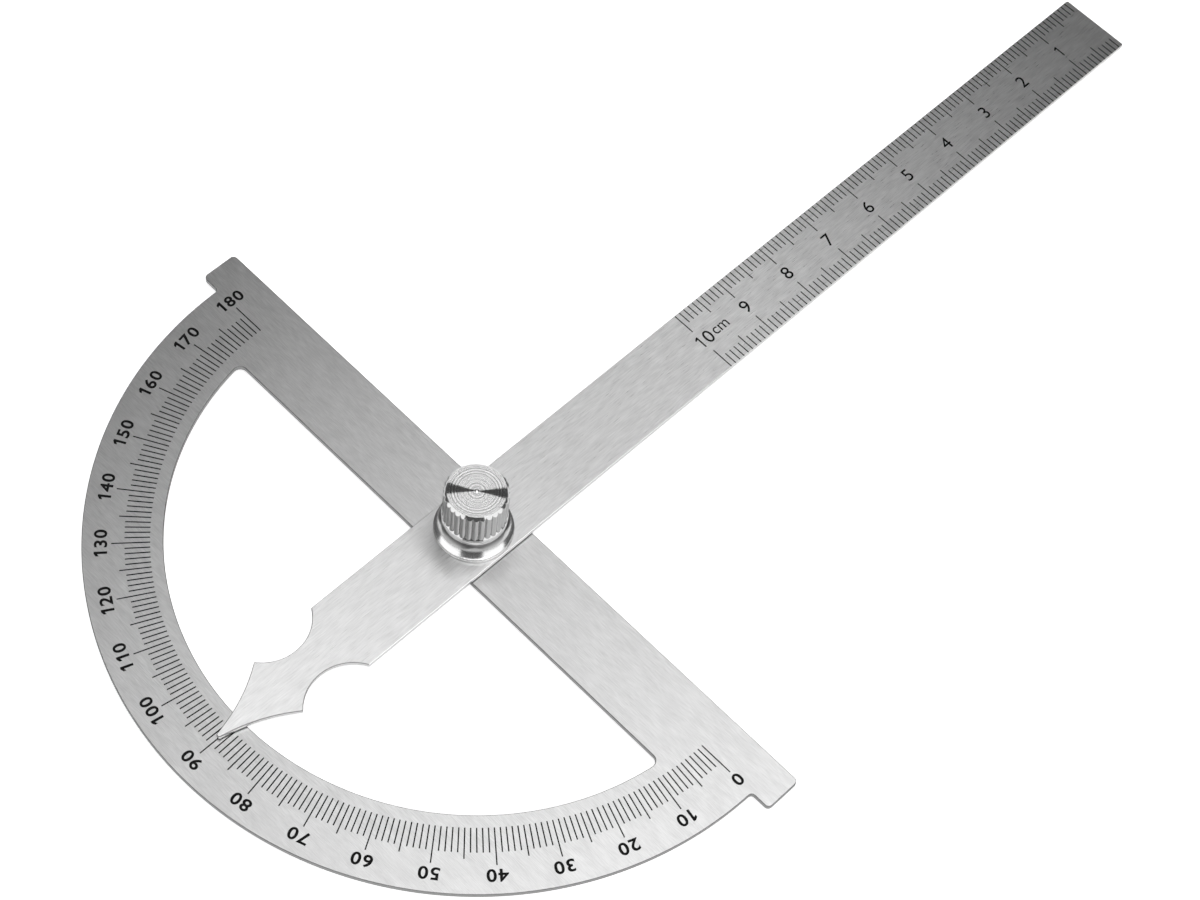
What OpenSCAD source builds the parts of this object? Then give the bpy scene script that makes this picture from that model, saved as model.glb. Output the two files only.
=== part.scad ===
// Angle gauge: a half-round protractor plate with a swinging rule, clamped by a thumb nut.
// Millimetres. The pivot axis is Z, the plate's 0 degree end is +X and its 180 degree end is -X.
// The rule's measuring tip points along +Y, and its pointer reads the arc on the -Y side.
// Z is 0 on the flat outer face of the pivot screw's head, which the gauge lies on.

/* [Protractor plate] */
// Outer radius of the half-round arc
arc_r = 60; // [50:0.5:90]
// Radial width of the graduated arc band
band_w = 12.4; // [9:0.2:16]
// Width of the straight bar that carries the pivot
bar_w = 13; // [11:0.5:20]
// How far each ear reaches past the arc
ear_out = 3.5; // [2:0.5:8]
// Radius on the corners of the ears
ear_corner_r = 0.8; // [0.3:0.1:1.4]
// Radius in the notch between ear and arc
notch_r = 0.6; // [0.2:0.1:1.5]
// Radius in the two corners of the window
window_corner_r = 1.2; // [0.4:0.1:4]
// Thickness of the plate's sheet
plate_t = 1; // [0.8:0.1:2]

/* [Rule] */
// Width of the rule
rule_w = 13; // [11:0.5:20]
// Thickness of the rule's sheet
rule_t = 1; // [0.8:0.1:2]
// Length from the pivot axis to the measuring tip, the zero of the centimetre scale
rule_reach = 151.3; // [120:0.1:220]
// Radius on the corners of the measuring tip
rule_corner_r = 0.3; // [0.1:0.1:2]

/* [Pointer] */
// Width of the neck at its narrowest
neck_w = 5.4; // [4:0.1:7]
// Distance from the pivot axis to the narrowest place of the neck
neck_reach = 34.3; // [30:0.1:36]
// Radius of the two round hollows that make the neck
neck_r = 7.45; // [7:0.05:8.5]
// Width across the two barbs
barb_w = 11; // [9.5:0.1:12]
// Distance from the pivot axis to the end of the pointer
pointer_reach = 52.1; // [48:0.1:56]
// Width of the blunt end of the pointer
pointer_end_w = 0.8; // [0.4:0.1:1.4]
// Radius of the hollow flanks from barb to end
flank_r = 29; // [18:1:80]

/* [Pivot screw] */
// Diameter of the flat head under the plate
head_d = 10; // [8:0.5:14]
// Thickness of the head
head_t = 1; // [0.6:0.1:2]
// Bevel on the outer edge of the head
head_bevel = 0.3; // [0.1:0.05:0.5]
// Diameter of the plain shoulder that the rule turns on
shoulder_d = 5; // [4.6:0.1:7]
// Distance across the two flats that stop the screw from turning in the plate
flats_w = 4.2; // [4:0.1:4.5]
// Outer diameter of the thread
thread_d = 4; // [3:0.5:4.5]
// Length of thread that stands inside the nut
thread_in_nut = 7; // [4:0.5:8.4]
// Bevel on the end of the thread
thread_bevel = 0.5; // [0.2:0.1:0.8]

/* [Clamp washer] */
// Outer diameter of the washer
washer_d = 12.6; // [10:0.2:18]
// Thickness of the washer
washer_t = 0.5; // [0.3:0.1:1.5]

/* [Thumb nut] */
// Full height of the nut
nut_h = 11; // [9.5:0.5:16]
// Diameter over the ribs of the knurl
knurl_d = 10.2; // [9:0.2:16]
// Number of ribs round the knurl
rib_count = 30; // [24:1:44]
// Angle of the first rib from the X axis
rib_start = 4; // [0:1:14]
// Height of each rib above the groove beside it
rib_h = 0.3; // [0.15:0.05:0.4]
// How far the collar under the ribs reaches past them
collar_out = 0.1; // [0.05:0.05:0.4]
// Height of the collar's straight edge
collar_h = 0.15; // [0.1:0.05:0.3]
// Height of the collar's upper edge above the nut's foot
collar_z = 4.4; // [4.2:0.1:5]
// Height of the cone on which the ribs stand
cone_h = 0.8; // [0.5:0.1:1]
// Axial length of the bevel at the knurl's top edge
top_bevel_h = 0.6; // [0.3:0.1:1.2]
// Radial width of the bevel at the knurl's top edge
top_bevel_w = 0.45; // [0.3:0.05:0.7]
// Diameter of the flared skirt at its foot
skirt_d = 12.4; // [11.6:0.2:18]
// Height of the straight rim at the foot of the skirt
rim_h = 0.4; // [0.2:0.1:0.8]
// Height at which the skirt's hollow flare ends
flare_z = 2.7; // [2:0.1:3]
// Diameter of the waist above the flare
waist_d = 9.8; // [8:0.2:10]
// Diameter over the round bead above the waist
bead_d = 10.4; // [10:0.1:12]
// Radius of the bead's round section
bead_r = 0.85; // [0.5:0.05:0.9]
// Depth of the blind threaded hole
nut_hole_depth = 8.6; // [5:0.2:9]
// Width of the small raised pip in the middle of the top face
pip_d = 0.7; // [0.3:0.1:1.5]
// Height of the pip
pip_h = 0.12; // [0.05:0.01:0.15]

/* [Fits] */
// Radial clearance between the rule and the shoulder it turns on
rule_fit = 0.05; // [0.02:0.01:0.1]
// Clearance round the screw's neck in the plate
neck_fit = 0.05; // [0.02:0.01:0.1]
// Radial clearance between the thread and the nut
thread_fit = 0.05; // [0.02:0.01:0.1]
// Radial clearance between the thread and the washer
washer_fit = 0.08; // [0.02:0.01:0.1]
// How far the shoulder stays below the rule's top face, so that the nut grips the rule
grip_gap = 0.05; // [0.02:0.01:0.2]

/* [Hidden] */
$fn = 180;
small_fn = 48;
// Extra length of a cutter past the face it cuts
over = 1;
// Levels of the stack, from the head's outer face up
plate_z = head_t;
rule_z = plate_z + plate_t;
washer_z = rule_z + rule_t;
nut_z = washer_z + washer_t;
// Plate outline
edge_y = bar_w / 2;
window_r = arc_r - band_w;
ear_x = arc_r + ear_out;
corner_y = -edge_y - window_corner_r;
corner_x = sqrt(pow(window_r - window_corner_r, 2) - pow(corner_y, 2));
// Pointer outline: centres of the neck's hollows, and where they end in the barbs
hollow_x = neck_w / 2 + neck_r;
barb_y = -neck_reach - sqrt(pow(neck_r, 2) - pow(hollow_x - barb_w / 2, 2));
end_y = -pointer_reach + pointer_end_w / 2;
// Flank circle: it passes through the barb and the end, and bulges inwards
flank_dx = (barb_w - pointer_end_w) / 2;
flank_dy = barb_y - end_y;
flank_half = sqrt(pow(flank_dx, 2) + pow(flank_dy, 2)) / 2;
flank_off = sqrt(pow(flank_r, 2) - pow(flank_half, 2));
flank_x = (barb_w + pointer_end_w) / 4 + flank_off * flank_dy / (2 * flank_half);
flank_y = (barb_y + end_y) / 2 - flank_off * flank_dx / (2 * flank_half);
// Nut: the flare is a quarter hollow that runs from the waist down to the rim
flare_w = (skirt_d - waist_d) / 2;
flare_h = flare_z - rim_h;
flare_r = (pow(flare_w, 2) + pow(flare_h, 2)) / (2 * flare_w);
bead_z = (flare_z + collar_z - collar_h) / 2;
// Ribs are round bars set so close that they meet in a groove of depth rib_h
knurl_r = knurl_d / 2;
groove_r = knurl_r - rib_h;
half_pitch = 180 / rib_count;
rib_r = (pow(knurl_r, 2) + pow(groove_r, 2) - 2 * knurl_r * groove_r * cos(half_pitch))
        / (2 * (knurl_r - groove_r * cos(half_pitch)));
pip_r = (pow(pip_d / 2, 2) + pow(pip_h, 2)) / (2 * pip_h);

// A bar with round corners, from (x0, y0) to (x1, y1)
module round_bar(x0, y0, x1, y1, r) {
    translate([x0 + r, y0]) square([x1 - x0 - 2 * r, y1 - y0]);
    translate([x0, y0 + r]) square([x1 - x0, y1 - y0 - 2 * r]);
    for (x = [x0 + r, x1 - r], y = [y0 + r, y1 - r])
        translate([x, y]) circle(r = r, $fn = small_fn);
}

// The round hole or neck with two flats, grown by a clearance
module flatted_round(grow) {
    intersection() {
        circle(d = shoulder_d + 2 * grow);
        square([flats_w + 2 * grow, shoulder_d + 2 * grow], center = true);
    }
}

// Metal left in one corner of the window, outside its fillet
module window_corner() {
    out = window_r / (window_r - window_corner_r);
    difference() {
        polygon([
            [corner_x, corner_y],
            [corner_x, -edge_y + over],
            [window_r + over, -edge_y + over],
            [corner_x * out + over, corner_y * out],
            [corner_x * out, corner_y * out]
        ]);
        translate([corner_x, corner_y]) circle(r = window_corner_r, $fn = small_fn);
    }
}

// The D-shaped window under the bar
module window() {
    difference() {
        intersection() {
            circle(r = window_r);
            translate([-arc_r, -arc_r - edge_y]) square([2 * arc_r, arc_r]);
        }
        window_corner();
        mirror([1, 0]) window_corner();
    }
}

// Fillet in the notch where an ear meets the arc
module notch_fillet() {
    difference() {
        translate([arc_r - over, -notch_r]) square([notch_r + over, notch_r + over]);
        translate([arc_r + notch_r, -notch_r]) circle(r = notch_r, $fn = small_fn);
    }
}

module protractor_plate() {
    color("silver") translate([0, 0, plate_z]) linear_extrude(plate_t) difference() {
        union() {
            intersection() {
                circle(r = arc_r);
                translate([-arc_r, -arc_r]) square([2 * arc_r, arc_r + edge_y / 2]);
            }
            round_bar(-ear_x, 0, ear_x, edge_y, ear_corner_r);
            notch_fillet();
            mirror([1, 0]) notch_fillet();
        }
        window();
        flatted_round(neck_fit);
    }
}

// Tapering pointer from barbs to end, with hollow flanks and a round end
module pointer() {
    difference() {
        polygon([
            [-barb_w / 2, barb_y],
            [-pointer_end_w / 2, end_y],
            [pointer_end_w / 2, end_y],
            [barb_w / 2, barb_y]
        ]);
        for (side = [-1, 1])
            translate([side * flank_x, flank_y]) circle(r = flank_r, $fn = 360);
    }
    translate([0, end_y]) circle(d = pointer_end_w, $fn = small_fn);
}

module rule_arm() {
    color("gainsboro") translate([0, 0, rule_z]) linear_extrude(rule_t) difference() {
        union() {
            difference() {
                union() {
                    translate([-rule_w / 2, barb_y]) square([rule_w, rule_reach - barb_y - rule_w]);
                    round_bar(-rule_w / 2, 0, rule_w / 2, rule_reach, rule_corner_r);
                }
                for (side = [-1, 1])
                    translate([side * hollow_x, -neck_reach]) circle(r = neck_r);
            }
            pointer();
        }
        circle(d = shoulder_d + 2 * rule_fit);
    }
}

module pivot_screw() {
    color("lightgray") {
        // Flat head under the plate, bevelled at its outer edge
        cylinder(d1 = head_d - 2 * head_bevel, d2 = head_d, h = head_bevel);
        translate([0, 0, head_bevel]) cylinder(d = head_d, h = head_t - head_bevel);
        // Neck with two flats, held in the plate
        translate([0, 0, head_t]) linear_extrude(plate_t) flatted_round(0);
        // Plain shoulder that the rule turns on
        translate([0, 0, rule_z]) cylinder(d = shoulder_d, h = rule_t - grip_gap);
        // Thread, drawn at its outer diameter
        thread_top = nut_z + thread_in_nut;
        translate([0, 0, rule_z]) cylinder(d = thread_d, h = thread_top - thread_bevel - rule_z);
        translate([0, 0, thread_top - thread_bevel])
            cylinder(d1 = thread_d, d2 = thread_d - 2 * thread_bevel, h = thread_bevel);
    }
}

module clamp_washer() {
    color("silver") translate([0, 0, washer_z]) difference() {
        cylinder(d = washer_d, h = washer_t);
        translate([0, 0, -over]) cylinder(d = thread_d + 2 * washer_fit, h = washer_t + 2 * over);
    }
}

// Turned outline of the nut without its knurl: rim, hollow flare, waist, bead, collar and cone
module nut_outline() {
    difference() {
        square([skirt_d / 2, flare_z]);
        translate([waist_d / 2 + flare_r, flare_z]) circle(r = flare_r);
    }
    square([waist_d / 2, collar_z - collar_h / 2]);
    translate([bead_d / 2 - bead_r, bead_z]) circle(r = bead_r, $fn = small_fn);
    polygon([
        [0, collar_z - collar_h],
        [knurl_r + collar_out, collar_z - collar_h],
        [knurl_r + collar_out, collar_z],
        [knurl_r - rib_r - rib_h / 2, collar_z + cone_h],
        [0, collar_z + cone_h]
    ]);
}

// Envelope of the knurl, from inside the collar to the bevel at the top
module knurl_envelope() {
    polygon([
        [0, collar_z - collar_h / 2],
        [knurl_r, collar_z - collar_h / 2],
        [knurl_r, nut_h - top_bevel_h],
        [knurl_r - top_bevel_w, nut_h],
        [0, nut_h]
    ]);
}

// Cross-section of the straight knurl: round ribs side by side round a core
module knurl_section() {
    circle(r = knurl_r - rib_r);
    for (i = [0 : rib_count - 1])
        rotate(rib_start + 2 * half_pitch * i)
            translate([knurl_r - rib_r, 0])
                circle(r = rib_r, $fn = small_fn);
}

// Knurl: straight ribs, bevelled at the top and rooted in the collar
module knurl() {
    intersection() {
        rotate_extrude() knurl_envelope();
        linear_extrude(nut_h + over) knurl_section();
    }
}

module thumb_nut() {
    color("gainsboro") translate([0, 0, nut_z]) difference() {
        union() {
            rotate_extrude() nut_outline();
            knurl();
            // Pip left by the lathe in the middle of the top face
            intersection() {
                translate([0, 0, nut_h + pip_h - pip_r]) sphere(r = pip_r);
                translate([0, 0, nut_h - pip_h]) cylinder(d = 2 * pip_d, h = 3 * pip_h);
            }
        }
        // Blind threaded hole with a bevelled mouth
        translate([0, 0, -over]) cylinder(d = thread_d + 2 * thread_fit, h = nut_hole_depth + over);
        translate([0, 0, -thread_bevel])
            cylinder(d1 = thread_d + 4 * thread_bevel, d2 = thread_d, h = 2 * thread_bevel);
    }
}

protractor_plate();
rule_arm();
pivot_screw();
clamp_washer();
thumb_nut();
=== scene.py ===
# %% [markdown]
# # Angle gauge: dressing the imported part
# An angle gauge is a half-round steel plate with a degree scale, a steel rule that swings on it with
# a pointer, and a thumb nut that clamps the two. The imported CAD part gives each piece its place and
# size. It could be shown as it is, but it has no scale and no thread, and its edges are plain. So
# each piece is modelled again at the same size, with finer edges, its marks and its finish. This
# cell loads the part and names the level of each layer, in millimetres.

from math import atan2, ceil, cos, degrees, hypot, pi, radians, sin, sqrt, tau

import bmesh
import bpy
from mathutils import Matrix, Quaternion, Vector


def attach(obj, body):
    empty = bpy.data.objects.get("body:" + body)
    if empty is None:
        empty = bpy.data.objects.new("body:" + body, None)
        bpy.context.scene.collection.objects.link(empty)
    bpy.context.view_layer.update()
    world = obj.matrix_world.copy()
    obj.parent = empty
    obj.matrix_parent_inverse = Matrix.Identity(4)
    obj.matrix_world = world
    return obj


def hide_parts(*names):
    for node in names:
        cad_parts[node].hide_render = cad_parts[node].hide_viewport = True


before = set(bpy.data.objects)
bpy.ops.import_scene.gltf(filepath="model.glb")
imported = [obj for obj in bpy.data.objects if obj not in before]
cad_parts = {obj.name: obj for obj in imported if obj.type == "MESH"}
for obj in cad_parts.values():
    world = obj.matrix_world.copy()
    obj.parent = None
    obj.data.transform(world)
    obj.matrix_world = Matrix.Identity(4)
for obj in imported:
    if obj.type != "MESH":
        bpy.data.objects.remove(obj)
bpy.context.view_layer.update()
MM = 0.001
SHEET, WASHER_T = 1.0, 0.5
PLATE_Z = 1.0
RULE_Z = PLATE_Z + SHEET
WASHER_Z = RULE_Z + SHEET
NUT_Z = WASHER_Z + WASHER_T

# %% [markdown]
# ## A pen for outlines and profiles
# A sheet part is blanked from an outline, and a turned part follows a profile. Both are made of
# straight and round runs. They could be lists of points, but a fillet is then only roughly round. So
# a pen draws them as on a drawing board. It starts at a single vertex in edit mode, a straight run is
# an extrude, and a round run is a spin about its own centre. An outline is then closed, filled and
# raised to a sheet, and a profile is spun round the pivot's axis.


# %% pen
WELD = 0.002


class Pen:
    """Draws a line vertex by vertex, in mm. An upright pen draws a profile in the XZ plane."""

    def __init__(self, name, x, y, level=0.0, upright=False):
        self.x, self.y, self.level, self.upright = x, y, level, upright
        bpy.ops.object.select_all(action="DESELECT")
        bpy.ops.mesh.primitive_plane_add(size=MM)
        self.obj = bpy.context.object
        self.obj.name = self.obj.data.name = name
        bpy.ops.object.mode_set(mode="EDIT")
        bpy.ops.mesh.select_mode(type="VERT")
        bpy.ops.mesh.select_all(action="SELECT")
        bpy.ops.mesh.merge(type="CENTER")
        bpy.ops.mesh.select_all(action="SELECT")
        bpy.ops.transform.translate(value=self.place(x, y))

    def place(self, x, y):
        """The point (x, y) of the drawing in the scene's metres."""
        return Vector((x, 0, y) if self.upright else (x, y, self.level)) * MM

    def line(self, x, y):
        """A straight run to (x, y)."""
        step = self.place(x, y) - self.place(self.x, self.y)
        bpy.ops.mesh.extrude_region_move(TRANSFORM_OT_translate={"value": step})
        self.x, self.y = x, y
        return self

    def arc(self, cx, cy, turn, step):
        """A round run about (cx, cy), counterclockwise when turn is positive. Angles in degrees."""
        a = radians(turn)
        bpy.ops.mesh.spin(
            steps=max(2, ceil(abs(turn) / step)), angle=-a, center=self.place(cx, cy),
            axis=(0, -1, 0) if self.upright else (0, 0, 1),
        )
        dx, dy = self.x - cx, self.y - cy
        self.x, self.y = cx + dx * cos(a) - dy * sin(a), cy + dx * sin(a) + dy * cos(a)
        return self

    def weld(self):
        """Merges vertices that lie on each other, such as the two ends of a closed line."""
        bpy.ops.mesh.select_all(action="SELECT")
        bpy.ops.mesh.remove_doubles(threshold=WELD * MM)

    def sheet(self, thickness):
        """Closes the outline, fills it and raises it by thickness."""
        self.weld()
        bpy.ops.mesh.edge_face_add()
        bpy.ops.mesh.extrude_region_move(TRANSFORM_OT_translate={"value": (0, 0, thickness * MM)})
        return self.done()

    def turned(self, steps):
        """Spins the profile once round the pivot's axis."""
        bpy.ops.mesh.select_all(action="SELECT")
        bpy.ops.mesh.spin(steps=steps, angle=tau, center=(0, 0, 0), axis=(0, 0, 1))
        self.weld()
        return self.done()

    def done(self):
        """Turns the faces outwards and leaves edit mode."""
        bpy.ops.mesh.select_all(action="SELECT")
        bpy.ops.mesh.normals_make_consistent(inside=False)
        bpy.ops.object.mode_set(mode="OBJECT")
        return self.obj


# %% [markdown]
# ## One tool at a time
# At a bench a piece is taken up alone and one tool is used on it. It is the same here: an operator
# acts on all that is selected, so each tool first selects its own piece. A modifier could stay live,
# but one that is applied at once leaves a plain mesh for the next step.


# %% selecting and cutting
def only(obj):
    """Makes obj the one selected and active object."""
    bpy.ops.object.select_all(action="DESELECT")
    obj.select_set(True)
    bpy.context.view_layer.objects.active = obj


def apply_modifier(obj, kind, **settings):
    """Adds a modifier with its settings and applies it at once."""
    modifier = obj.modifiers.new(kind.lower(), kind)
    for key, value in settings.items():
        setattr(modifier, key, value)
    only(obj)
    bpy.ops.object.modifier_apply(modifier=modifier.name)
    return obj


def combine(obj, other, operation):
    """Cuts, joins or intersects obj with another solid, which is used up."""
    apply_modifier(obj, "BOOLEAN", object=other, operation=operation, solver="EXACT")
    bpy.data.objects.remove(other)
    return obj


# %% [markdown]
# ## Edges and measures
# No edge of a handled steel tool is knife sharp. Tumbling breaks it by about a tenth of a millimetre,
# and the narrow band shows as a fine line. It could be inset face by face, but one bevel on the
# finished blank does all its edges alike. The bevel's two flats stay flat in the shading, and only
# the long curves are shaded smooth. Each piece is also measured: a closed solid has no open edge,
# and its volume should be close to that of its CAD node.


# %% edges and measures
EDGE_BREAK, SHARP, FLAT_TURN = 0.1, 30, 20


def smooth(obj, angle):
    """Shades the piece smooth, apart from edges that turn by more than angle degrees."""
    only(obj)
    bpy.ops.object.shade_smooth_by_angle(angle=radians(angle))


def break_edges(obj):
    """Bevels the sharp edges by EDGE_BREAK."""
    apply_modifier(
        obj, "BEVEL", width=EDGE_BREAK * MM, segments=2,
        limit_method="ANGLE", angle_limit=radians(SHARP), use_clamp_overlap=False,
    )
    smooth(obj, FLAT_TURN)


def volume_and_open_edges(mesh):
    """The volume in cubic mm, and the number of edges that don't join exactly two faces."""
    bm = bmesh.new()
    bm.from_mesh(mesh)
    found = bm.calc_volume() / MM**3, sum(1 for edge in bm.edges if not edge.is_manifold)
    bm.free()
    return found


def measure(obj, node=None):
    """Prints the volume, open edges and faces of a piece, and the volume of its CAD node."""
    volume, open_edges = volume_and_open_edges(obj.data)
    print(f"{obj.name}: {volume:.1f} mm3, {open_edges} open edges, {len(obj.data.polygons)} faces")
    if node:
        print(f"CAD {node}: {volume_and_open_edges(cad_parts[node].data)[0]:.1f} mm3")


# %% [markdown]
# ## Plate outline
# The plate is one blanked sheet: a half-round band, and a straight bar that ends in two ears. Band
# and bar could be two solids joined, but a die cuts them in one stroke, so they are one outline. Each
# ear meets the round side in a small fillet, drawn as an arc that touches both.

# %% plate outline
ARC_R, EAR_X, EDGE_Y = 60.0, 63.5, 6.5
EAR_R, NOTCH_R = 0.8, 0.6
notch_x = sqrt((ARC_R + NOTCH_R) ** 2 - NOTCH_R**2)
notch_turn = 90 - degrees(atan2(NOTCH_R, notch_x))
ear_x, ear_y = EAR_X - EAR_R, EDGE_Y - EAR_R

pen = Pen("satin_plate", 0, -ARC_R, PLATE_Z)
pen.arc(0, 0, notch_turn, step=1)
pen.arc(notch_x, -NOTCH_R, -notch_turn, step=10)
pen.line(ear_x, 0).arc(ear_x, EAR_R, 90, step=10)
pen.line(EAR_X, ear_y).arc(ear_x, ear_y, 90, step=10)
pen.line(-ear_x, EDGE_Y).arc(-ear_x, ear_y, 90, step=10)
pen.line(-EAR_X, EAR_R).arc(-ear_x, EAR_R, 90, step=10)
pen.line(-notch_x, 0).arc(-notch_x, -NOTCH_R, -notch_turn, step=10)
pen.arc(0, 0, notch_turn, step=1)
plate = pen.sheet(SHEET)
measure(plate)

# %% [markdown]
# ## Window
# The press punches the D-shaped window after the outline. A single face can't have a hole in it, so a
# cutter in the window's shape is taken off with a Boolean, much as the punch works. The window's two
# corners are arcs that touch the round side and the bar.

# %% plate window
WINDOW_R, CORNER_R, CUTTER = 47.6, 1.2, 3.0
corner_y = -EDGE_Y - CORNER_R
corner_x = sqrt((WINDOW_R - CORNER_R) ** 2 - corner_y**2)
corner_a = degrees(atan2(-corner_y, corner_x))

pen = Pen("window_cutter", 0, -WINDOW_R, PLATE_Z - SHEET)
pen.arc(0, 0, 90 - corner_a, step=1)
pen.arc(corner_x, corner_y, 90 + corner_a, step=8)
pen.line(-corner_x, -EDGE_Y).arc(-corner_x, corner_y, 90 + corner_a, step=8)
pen.arc(0, 0, 90 - corner_a, step=1)
combine(plate, pen.sheet(CUTTER), "DIFFERENCE")
measure(plate)

# %% [markdown]
# ## Screw hole
# The screw's hole has two flats, so that the screw can't turn in the plate when the nut is tightened.
# A round cutter would lose them, so the cutter is drawn as two arcs joined by straight sides. With
# the hole made, all edges of the plate are broken in one go.

# %% plate hole and edges
HOLE_R, FLAT_X = 2.55, 2.15
flat_y = sqrt(HOLE_R**2 - FLAT_X**2)
flat_turn = 180 - 2 * degrees(atan2(flat_y, FLAT_X))

pen = Pen("hole_cutter", FLAT_X, flat_y, PLATE_Z - SHEET)
pen.arc(0, 0, flat_turn, step=6)
pen.line(-FLAT_X, -flat_y).arc(0, 0, flat_turn, step=6)
combine(plate, pen.sheet(CUTTER), "DIFFERENCE")
break_edges(plate)
measure(plate, "protractor_plate")

# %% [markdown]
# ## Neck, barbs and pointer
# The second blade runs through the pivot: on one side the graduated rule, on the other a neck and a
# sharp pointer. Neck and flanks are ground with round wheels, so they are true arcs that meet in two
# barbs. Their ends could be read off a picture, but then the arcs wouldn't meet. So only the radii
# and a few places are given, and the rest follows: a barb lies on the neck's circle, and a flank is
# the arc of FLANK_R from the barb to the pointer's end.

# %% sizes of the pointer
RULE_X, TIP_Y, TIP_R = 6.5, 151.3, 0.3
NECK_R, NECK_Y, HOLLOW_X = 7.45, -34.3, 10.15
BARB_X, END_R, END_Y, FLANK_R = 5.5, 0.4, -51.7, 29.0
neck_top = NECK_Y + sqrt(NECK_R**2 - (HOLLOW_X - RULE_X) ** 2)
barb_y = NECK_Y - sqrt(NECK_R**2 - (HOLLOW_X - BARB_X) ** 2)
neck_turn = degrees(
    atan2(neck_top - NECK_Y, HOLLOW_X - RULE_X) + atan2(NECK_Y - barb_y, HOLLOW_X - BARB_X)
)
half = hypot(BARB_X - END_R, barb_y - END_Y) / 2
flank_off = sqrt(FLANK_R**2 - half**2)
flank_x = (BARB_X + END_R) / 2 + flank_off * (barb_y - END_Y) / (2 * half)
flank_y = (barb_y + END_Y) / 2 - flank_off * (BARB_X - END_R) / (2 * half)
flank_turn = 2 * degrees(atan2(half, flank_off))
print(f"neck top {neck_top:.2f}, barb {barb_y:.2f}, flank centre {flank_x:.2f}, {flank_y:.2f} mm")

# %% [markdown]
# ## Rule outline
# The blade is drawn once round, from the pointer's end up its right side and down its left. The press
# pulls in the lower edges of a blank, which leaves the fine dark gap that is seen where the rule
# crosses the bar. A bevel could make this die roll, but would take the upper edges too, so the lower
# face alone is picked by its normal, inset and pushed down. The underside also keeps a film of oil's
# distance from the plate, so that the rule swings clear of the degree marks.


# %% rule outline
FILM, DIE_ROLL, DOWNWARD = 0.02, 0.2, -0.9


def pick(obj, test):
    """Selects, in edit mode, the faces for which test(face) holds."""
    only(obj)
    bpy.ops.object.mode_set(mode="EDIT")
    bpy.ops.mesh.select_mode(type="FACE")
    bpy.ops.mesh.select_all(action="DESELECT")
    bpy.ops.object.mode_set(mode="OBJECT")
    for face in obj.data.polygons:
        face.select = test(face)
    bpy.ops.object.mode_set(mode="EDIT")


pen = Pen("satin_rule", -END_R, END_Y, RULE_Z + FILM + DIE_ROLL)
pen.arc(0, END_Y, 180, step=15)
pen.arc(flank_x, flank_y, -flank_turn, step=1)
pen.arc(HOLLOW_X, NECK_Y, -neck_turn, step=2)
pen.line(RULE_X, TIP_Y - TIP_R).arc(RULE_X - TIP_R, TIP_Y - TIP_R, 90, step=15)
pen.line(TIP_R - RULE_X, TIP_Y).arc(TIP_R - RULE_X, TIP_Y - TIP_R, 90, step=15)
pen.line(-RULE_X, neck_top).arc(-HOLLOW_X, NECK_Y, -neck_turn, step=2)
pen.arc(-flank_x, flank_y, -flank_turn, step=1)
rule = pen.sheet(SHEET - FILM - DIE_ROLL)
pick(rule, lambda face: face.normal.z < DOWNWARD)
bpy.ops.mesh.inset(thickness=DIE_ROLL * MM, depth=DIE_ROLL * MM)
bpy.ops.object.mode_set(mode="OBJECT")
measure(rule)

# %% [markdown]
# ## Pivot hole
# The rule turns on the screw's round shoulder, so its hole is a plain circle. It could be a cylinder
# primitive, but the pen draws it with the same fine steps as the other curves.

# %% rule hole and edges
pen = Pen("pivot_cutter", HOLE_R, 0, RULE_Z - SHEET)
pen.arc(0, 0, 360, step=4)
combine(rule, pen.sheet(CUTTER), "DIFFERENCE")
break_edges(rule)
measure(rule, "rule_arm")

# %% [markdown]
# ## Clamp washer
# A plain washer lies between the nut and the rule, so that the turning nut doesn't scratch the steel.
# It shows as a thin light line under the nut's skirt. It could be a cylinder with a hole and a bevel,
# but its outer edges are rounder than its inner ones, and a turned profile gives each its own size.

# %% washer
WASHER_R, WASHER_HOLE, WASHER_ROUND, WASHER_BREAK = 6.3, 2.08, 0.1, 0.05
washer_top, washer_side = WASHER_Z + WASHER_T, WASHER_R - WASHER_ROUND

pen = Pen("plain_washer", WASHER_HOLE, WASHER_Z + WASHER_BREAK, upright=True)
pen.line(WASHER_HOLE, washer_top - WASHER_BREAK).line(WASHER_HOLE + WASHER_BREAK, washer_top)
pen.line(washer_side, washer_top).arc(washer_side, washer_top - WASHER_ROUND, -90, step=18)
pen.line(WASHER_R, WASHER_Z + WASHER_ROUND)
pen.arc(washer_side, WASHER_Z + WASHER_ROUND, -90, step=18)
pen.line(WASHER_HOLE + WASHER_BREAK, WASHER_Z).line(WASHER_HOLE, WASHER_Z + WASHER_BREAK)
washer = pen.turned(steps=180)
smooth(washer, FLAT_TURN)
measure(washer, "clamp_washer")

# %% [markdown]
# ## Pivot screw
# The screw comes up from below: a low flat head that the gauge lies on, a neck held by the plate, the
# shoulder that the rule turns on, and the threaded end. It could be a stack of cylinders joined, but
# a lathe cuts it as one profile, and so does the pen, down to the root of the thread.

# %% screw body
FOOT_R, FOOT_ROUND = 4.62, 0.08
TAPER_X, TAPER_Z = 4.96, 0.3
HEAD_R, HEAD_SIDE_Z, HEAD_BREAK = 5.0, 0.4, 0.06
NECK_X, SHOULDER_R, SHOULDER_Z, SHOULDER_BREAK = 2.1, 2.5, 2.95, 0.07
ROOT_R, SCREW_TOP = 1.62, 10.5

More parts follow.
